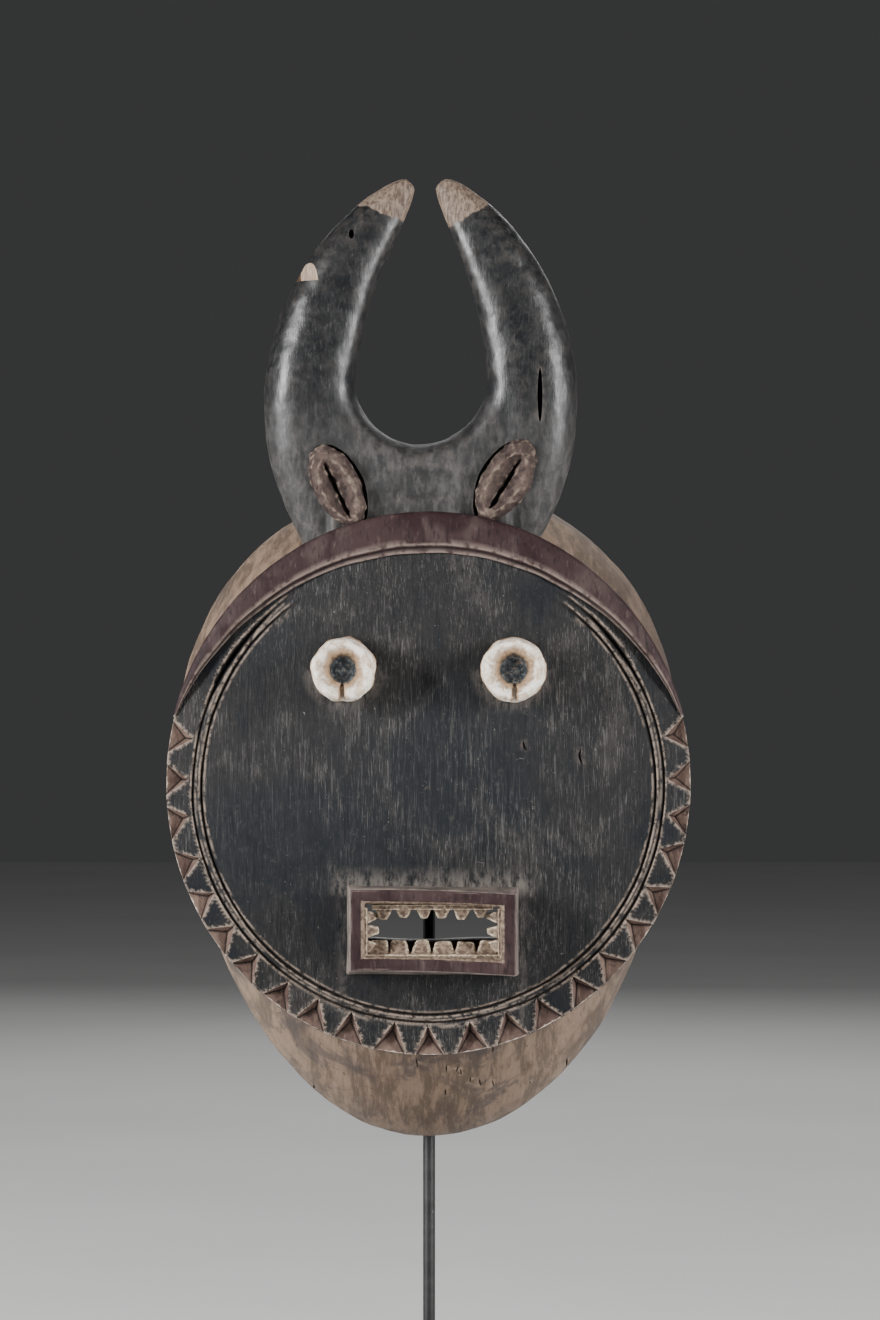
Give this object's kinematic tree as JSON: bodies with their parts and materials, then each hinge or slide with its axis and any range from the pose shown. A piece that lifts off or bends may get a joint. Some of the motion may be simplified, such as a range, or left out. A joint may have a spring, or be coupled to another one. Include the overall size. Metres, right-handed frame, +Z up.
{
  "type": "carved wooden mask on a stand",
  "caption": "Horned round-faced wooden mask with tube eyes, toothed box mouth, chip-carved rim and hollow collar, hung on a turning steel display stand.",
  "frame": {"origin": "middle of the stand's footprint, on the surface that it stands on", "axes": "+Z up, the face of the mask looks along -Y, +X is to the right of someone looking at the face"},
  "size_m": [0.2468, 0.172, 0.6164],
  "materials": {
    "painted_dark": "worn blue-black paint with fine vertical carving marks, satin on the horns and dry on the face",
    "painted_brown": "worn purple-brown paint, dusty, with light edges",
    "kaolin_white": "thick chalky white clay, stained brown towards the hole",
    "tooth_white": "thin chalky white over bare wood, worn",
    "bare_wood": "dry bare wood with smoke and handling stains",
    "handled_wood": "dark wood polished by use",
    "black_steel": "satin black",
    "screw_steel": "plain",
    "black_rubber": "matt"
  },
  "bodies": {
    "stand": {"stand_base": "black_steel", "base_feet": "black_rubber", "post_socket": "black_steel", "socket_screw": "screw_steel"},
    "hanger": {"post": "black_steel", "hanger_fork": "black_steel", "tip_sleeves": "black_rubber", "stop_sleeve": "black_rubber"},
    "mask": {"face_board": "painted_dark", "brow_band": "painted_brown", "eye_left": "kaolin_white", "eye_right": "kaolin_white", "mouth_frame": "painted_brown", "teeth_upper": "tooth_white", "teeth_lower": "tooth_white", "teeth_left": "tooth_white", "teeth_right": "tooth_white", "horn_left": "painted_dark", "horn_right": "painted_dark", "crest_block": "painted_dark", "ear_left": "bare_wood", "ear_right": "bare_wood", "back_collar": "bare_wood", "bite_bar": "handled_wood"},
    "thumb_screw": {"thumb_screw": "black_steel"}
  },
  "joints": [
    {"name": "stand_turn", "type": "hinge", "parent": "stand", "child": "hanger", "pos_m": [0, 0.062, 0.04], "axis": [0, 0, 1], "continuous": true},
    {"name": "mask_lift", "type": "slide", "parent": "hanger", "child": "mask", "axis": [0, -0.6, 0.8], "range_m": [0, 0.16]},
    {"name": "thumb_screw_turn", "type": "hinge", "parent": "stand", "child": "thumb_screw", "pos_m": [0, 0.07, 0.038], "axis": [0, 1, 0], "range_deg": [0, 720]}
  ]
}
